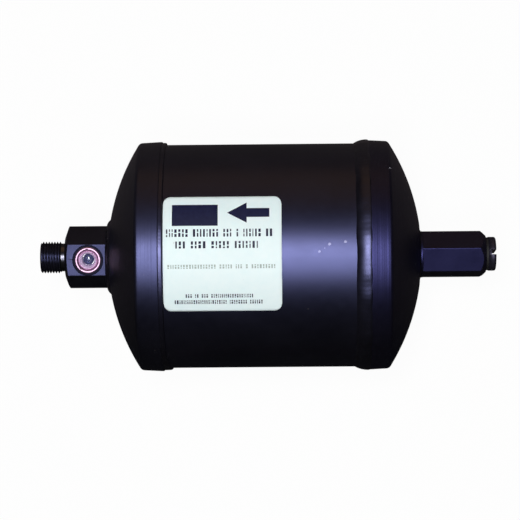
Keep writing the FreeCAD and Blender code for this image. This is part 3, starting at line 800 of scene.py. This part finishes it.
def makeLens(size):
    # a disc with a spherical dome on its outer face, closed at both poles
    low, top, edge, bevel = size["low"], size["top"], size["radius"], size["bevel"]
    domeRadius, rise = size["domeRadius"], size["domeRise"]
    sphere = (domeRadius ** 2 + rise ** 2) / (2 * rise)
    reach = domeRadius * np.cos(np.linspace(0, math.pi / 2, size["domeRows"]))
    dome = np.stack([top + rise - sphere + np.sqrt(sphere ** 2 - reach ** 2), reach], axis=-1)
    disc = np.array([
        [low, 0.0], [low, edge - bevel], [low + bevel, edge], [top, edge],
        [top, domeRadius + size["domeGap"]]])
    outline = np.concatenate([disc, dome])
    points = onSight(outline[:, :1], outline[:, 1:], fullTurn(size["columns"]))
    return gridObject("sightLens", points, wrapRows=False)


def finishRing(ring, look):
    # the groove's faces take the second, darker finish, which is painted shade, and the funnel's the third,
    # pale one, which is a painted highlight
    height, away = placeOnSight(ring)
    inner, outer = look["groove"]
    inGroove = (away > inner) & (away < outer) & (height < look["grooveTop"])
    chooseFinish(ring, inGroove + 2 * (away < inner - look["funnelGap"]))


sightRing = makeRetainer(retainer)
dress(sightRing, ["sight_glass_retainer"], "plated_ring", platedMetal, grooveShadeMetal, funnelHighlightPaint)
finishRing(sightRing, retainer)
dress(makeLens(lens), ["sight_glass_lens"], "sight_glass", sightGlassPaintedReflection)
print("made sight glass")


# Label and its print.

label = {
    "left": -48.62, "right": 8.9, "front": -26.63, "back": 28.85, "corner": 3.8, "radius": 56.53,
    "thickness": 0.12, "cornerRows": 14, "middleRows": 24, "columns": 72,
}


def onShell(x, y, radius):
    return np.stack([x, y, np.sqrt(radius ** 2 - y ** 2)], axis=-1)


def faceUp(sheet):
    # an open sheet has no outside of its own, so every face is turned to point up
    work = bmesh.new()
    work.from_mesh(sheet.data)
    work.normal_update()
    bmesh.ops.reverse_faces(work, faces=[face for face in work.faces if face.normal.z < 0])
    work.to_mesh(sheet.data)
    work.free()
    return sheet


def makeLabel(size):
    # a sheet over the shell: near each end its width follows the rounded corner's arc
    inset = size["corner"] * (1 - np.sin(np.linspace(0, math.pi / 2, size["cornerRows"])))
    step = size["corner"] - np.sqrt(size["corner"] ** 2 - inset ** 2)
    start = size["left"] + size["corner"] - inset
    end = size["right"] - size["corner"] + inset[::-1]
    middle = np.linspace(start[-1], end[0], size["middleRows"])[1:-1]
    x = np.concatenate([start, middle, end])[:, None]
    narrowing = np.concatenate([step, np.zeros(len(middle)), step[::-1]])[:, None]
    v = np.linspace(0, 1, size["columns"])
    y = (size["front"] + narrowing) * (1 - v) + (size["back"] - narrowing) * v
    points = onShell(np.broadcast_to(x, y.shape), y, size["radius"])
    sheet = faceUp(gridObject("labelSheet", points, wrapRows=False, wrapColumns=False))
    places = np.empty(len(sheet.data.vertices) * 3)
    sheet.data.vertices.foreach_get("co", places)
    placeX, placeY = places.reshape(-1, 3).T[:2] / mm
    flatU = (placeX - size["left"]) / (size["right"] - size["left"])
    flatV = (placeY - size["front"]) / (size["back"] - size["front"])
    loopVertex = np.empty(len(sheet.data.loops), np.int32)
    sheet.data.loops.foreach_get("vertex_index", loopVertex)
    own = sheet.data.uv_layers.new(name="film")
    own.data.foreach_set("uv", np.stack([flatU, flatV], axis=-1)[loopVertex].astype(np.float32).ravel())
    skin = sheet.modifiers.new("film thickness", "SOLIDIFY")
    skin.thickness, skin.offset = size["thickness"] * mm, -1.0
    return sheet


printed = {
    "lift": 0.015, "cell": 0.8,
    "block": (-44.2, -22.0, 14.7, 24.9),
    "arrow": {
        "tip": -17.3, "neck": -8.0, "end": 3.0, "middle": 20.95, "head": 4.9, "shaft": 2.15,
        "blunt": 0.02, "grid": (14, 13)},
    "rows": [     # left, right, bottom, top, mean mark width, gap
        (-47.0, 5.4, 9.4, 13.1, 0.85, 0.8), (-42.5, -1.4, 3.8, 7.2, 0.95, 0.9),
        (-37.8, -4.8, -20.1, -18.4, 0.6, 0.5), (-43.2, 0.6, -23.1, -21.3, 0.6, 0.5)],
    "faintRow": (-46.4, 5.9, -6.0, -4.1, 0.8, 0.6), "firstSeed": 60, "faintSeed": 80,
    "marks": {
        "most": 200, "widths": (0.55, 1.3), "groupShare": 0.17, "groupGap": 3.2,
        "brokenShare": 0.7, "breakPlaces": (0.3, 0.7), "halfBreak": 0.07},
}


def rectangle(left, right, bottom, top):
    # a grid of cells small enough to follow the shell's curve
    columns, rows = (int(side / printed["cell"]) + 2 for side in (right - left, top - bottom))
    return np.meshgrid(np.linspace(left, right, columns), np.linspace(bottom, top, rows))


def arrowHead(size):
    # half its height grows in a straight line from the tip to the neck
    columns, rows = size["grid"]
    x = np.broadcast_to(np.linspace(size["tip"], size["neck"], columns), (rows, columns))
    half = size["head"] * np.linspace(size["blunt"], 1, columns)
    return x, size["middle"] + half * np.linspace(-1, 1, rows)[:, None]


def uprightMarks(row, seed, look):
    # plain upright marks of uneven width, with wider gaps between groups of them; most are broken once
    # at an uneven height
    left, right, bottom, top, width, gap = row
    count, tall = look["most"], top - bottom
    rng = np.random.default_rng(seed)
    widths = width * rng.uniform(*look["widths"], count)
    gaps = gap * np.where(rng.random(count) < look["groupShare"], look["groupGap"], 1.0)
    starts = left + np.concatenate([[0], np.cumsum(widths + gaps)[:-1]])
    breaks = bottom + tall * rng.uniform(*look["breakPlaces"], count)
    halfBreaks = tall * np.where(rng.random(count) < look["brokenShare"], look["halfBreak"], 0.0)
    ends = starts + widths
    pieces = []
    for place in np.flatnonzero(ends <= right):
        start, end = starts[place], ends[place]
        pieces.append(rectangle(start, end, bottom, breaks[place] - halfBreaks[place]))
        pieces.append(rectangle(start, end, breaks[place] + halfBreaks[place], top))
    return pieces


def printObject(name, patches, lift):
    # all the patches of one ink, each laid a hair above the film
    points, faces, count = [], [], 0
    for x, y in patches:
        points.append(onShell(x, y, label["radius"] + lift).reshape(-1, 3))
        faces.append(gridFaces(*x.shape, False, False) + count)
        count += x.size
    return faceUp(makeObject(name, np.concatenate(points), np.concatenate(faces)))


arrow = printed["arrow"]
arrowShaft = rectangle(
    arrow["neck"], arrow["end"], arrow["middle"] - arrow["shaft"], arrow["middle"] + arrow["shaft"])
darkMarks = [rectangle(*printed["block"]), arrowHead(arrow), arrowShaft]
for seed, row in enumerate(printed["rows"], printed["firstSeed"]):
    darkMarks += uprightMarks(row, seed, printed["marks"])
faintMarks = uprightMarks(printed["faintRow"], printed["faintSeed"], printed["marks"])
dress(makeLabel(label), ["label"], "label_film", labelFilm)
dress(printObject("labelPrint", darkMarks, printed["lift"]), [], "label_film", navyInk)
dress(printObject("labelFaintPrint", faintMarks, printed["lift"]), [], "label_film", faintInk)
print("made label")


# Plug, and the finishes of the solids that stay as they are.

def smoothCopy(name, node, sharpAngle=32):
    # the solid's mesh with doubled corners merged and its curved faces shaded smooth
    mesh = solids[node].data.copy()
    mesh.name = name
    tidyMesh(mesh, sharpAngle)
    return linkObject(name, mesh)


plugBody = smoothCopy("plugBody", "inlet_plug")
dress(plugBody, ["inlet_plug"], "plug_plastic", plugPlastic, body="plug")
plugSealRing = smoothCopy("plugSealRing", "plug_seal")
dress(plugSealRing, ["plug_seal"], "gasket_rubber", blackRubber, body="seal_ring")

keptFinishes = {
    "sight_glass_gasket": blackRubber, "pickup_tube": drawnCopper, "pickup_strainer": bareSteel,
    "outlet_stop_ring": bareSteel, "bed_spring": bareSteel,
    "outlet_perforated_plate": bareSteel, "inlet_perforated_plate": bareSteel,
    "outlet_filter_pad": needledFelt, "inlet_filter_pad": needledFelt, "desiccant_bed": dryingBeads,
}
for node, finish in keptFinishes.items():
    solids[node].data.materials.clear()
    solids[node].data.materials.append(finish)
print("finished the plug and the inner pieces")


# Floor, light and camera.

studio = {
    "floorHeight": -58.6, "floorSize": 12.0, "floorColour": (0.86, 0.86, 0.86), "floorRoughness": 0.9,
    "floorSpecular": 0.1, "floorWhite": 0.96, "dimFloor": ((0.011, 0.011, 0.009), (0.15, 0.125, 0.125)),
    "sideways": 0.6, "brightening": 4.0, "worldLight": (0.04, 0.04, 0.042), "distance": 1.6,
    "lamps": [
        # name, degrees to +X, degrees to +Y, width, height, share of full light, colour, lights diffuse
        ("keyLamp", -4.2, 6.0, 0.26, 0.26, 0.54, (1.0, 1.0, 1.0), True),
        ("lowLamp", -4.0, -10.5, 0.26, 0.34, 0.31, (1.0, 1.0, 1.0), True),
        ("keyGloss", -4.2, 6.0, 0.26, 0.26, 1.35, (1.0, 1.0, 1.0), False),
        ("lowGloss", -4.0, -10.5, 0.26, 0.34, 0.95, (0.9, 0.93, 1.0), False),
        ("warmGloss", 0.0, 70.0, 1.2, 1.3, 0.19, (1.0, 0.58, 0.25), False),
    ],
    "cameraPlace": (0.013, 0.0, 1.209), "cameraTurn": (-0.0019, 0.0127, -0.0085),     # radians
    "cameraLens": 165.46, "cameraSensor": 36.0, "cameraReach": 60.0,
}


def mixShaders(tree, factor, first, second):
    made = tree.nodes.new("ShaderNodeMixShader")
    tree.links.new(factor, made.inputs[0])
    tree.links.new(first.outputs[0], made.inputs[1])
    tree.links.new(second.outputs[0], made.inputs[2])
    return made


def lightPath(tree):
    # the node, and a value of 1 for rays that come straight from the camera or through glass
    path = tree.nodes.new("ShaderNodeLightPath")
    return path, mathNode(tree, "ADD", path.outputs["Is Camera Ray"], path.outputs["Is Transmission Ray"])


def makeFloor(size):
    # a flat sheet, white to the camera and through glass; reflections see a dim one, darkest in front,
    # as a white one would turn the black paint grey
    half = size["floorSize"] / 2 / mm
    x, y = np.meshgrid(np.linspace(-half, half, 3), np.linspace(-half, half, 3))
    points = np.stack([x, y, np.full_like(x, size["floorHeight"])], axis=-1)
    floor = gridObject("studioFloor", points, False, False)
    made, tree, shader, vector = newFinish("studioFloor", {
        "Base Color": (*size["floorColour"], 1.0), "Roughness": size["floorRoughness"],
        "Specular IOR Level": size["floorSpecular"]})
    path, seen = lightPath(tree)
    white = tree.nodes.new("ShaderNodeEmission")
    lit = mixShaders(tree, mathNode(tree, "MULTIPLY", seen, size["floorWhite"]), shader, white)
    place = tree.nodes.new("ShaderNodeSeparateXYZ")
    tree.links.new(vector, place.inputs[0])
    aside = mathNode(tree, "ABSOLUTE", place.outputs["X"])
    reach = mathNode(tree, "MULTIPLY_ADD", aside, size["sideways"], place.outputs["Y"])
    backward = clampNode(tree, mathNode(tree, "MULTIPLY", reach, size["brightening"]))
    dim = tree.nodes.new("ShaderNodeEmission")
    tree.links.new(mixColours(tree, backward, *size["dimFloor"]), dim.inputs["Color"])
    whole = mixShaders(tree, path.outputs["Is Glossy Ray"], lit, dim)
    tree.links.new(whole.outputs[0], tree.nodes["Material Output"].inputs["Surface"])
    floor.data.materials.append(made)


def makeLamps(size):
    # a lamp of power pi squared times distance squared gives a white surface facing it a value of 1
    away = size["distance"]
    for name, toRight, toBack, width, height, share, colour, lightsDiffuse in size["lamps"]:
        data = bpy.data.lights.new(name, "AREA")
        data.shape, data.size, data.size_y = "RECTANGLE", width, height
        data.energy = math.pi ** 2 * away ** 2 * share
        data.color = colour
        lamp = linkObject(name, data)
        tiltX, tiltY = math.radians(toRight), math.radians(toBack)
        lamp.location = (
            away * math.sin(tiltX) * math.cos(tiltY), away * math.sin(tiltY),
            away * math.cos(tiltX) * math.cos(tiltY))
        lamp.rotation_euler = lamp.location.to_track_quat("Z", "Y").to_euler()
        lamp.visible_diffuse = lightsDiffuse


def makeWorld(size):
    # white to the camera and through glass, dim to everything else
    world = bpy.data.worlds.new("studioWorld")
    world.use_nodes = True
    tree = world.node_tree
    colour = mixColours(tree, lightPath(tree)[1], size["worldLight"], (1.0, 1.0, 1.0))
    tree.links.new(colour, tree.nodes["Background"].inputs["Color"])
    bpy.context.scene.world = world


def makeCamera(size):
    data = bpy.data.cameras.new("photoCamera")
    data.lens, data.sensor_width = size["cameraLens"], size["cameraSensor"]
    data.clip_end = size["cameraReach"]
    camera = linkObject("photoCamera", data)
    camera.location, camera.rotation_euler = size["cameraPlace"], size["cameraTurn"]
    bpy.context.scene.camera = camera


makeFloor(studio)
makeLamps(studio)
makeWorld(studio)
makeCamera(studio)
bpy.context.scene.view_settings.view_transform = "Standard"
print("made floor, light and camera")
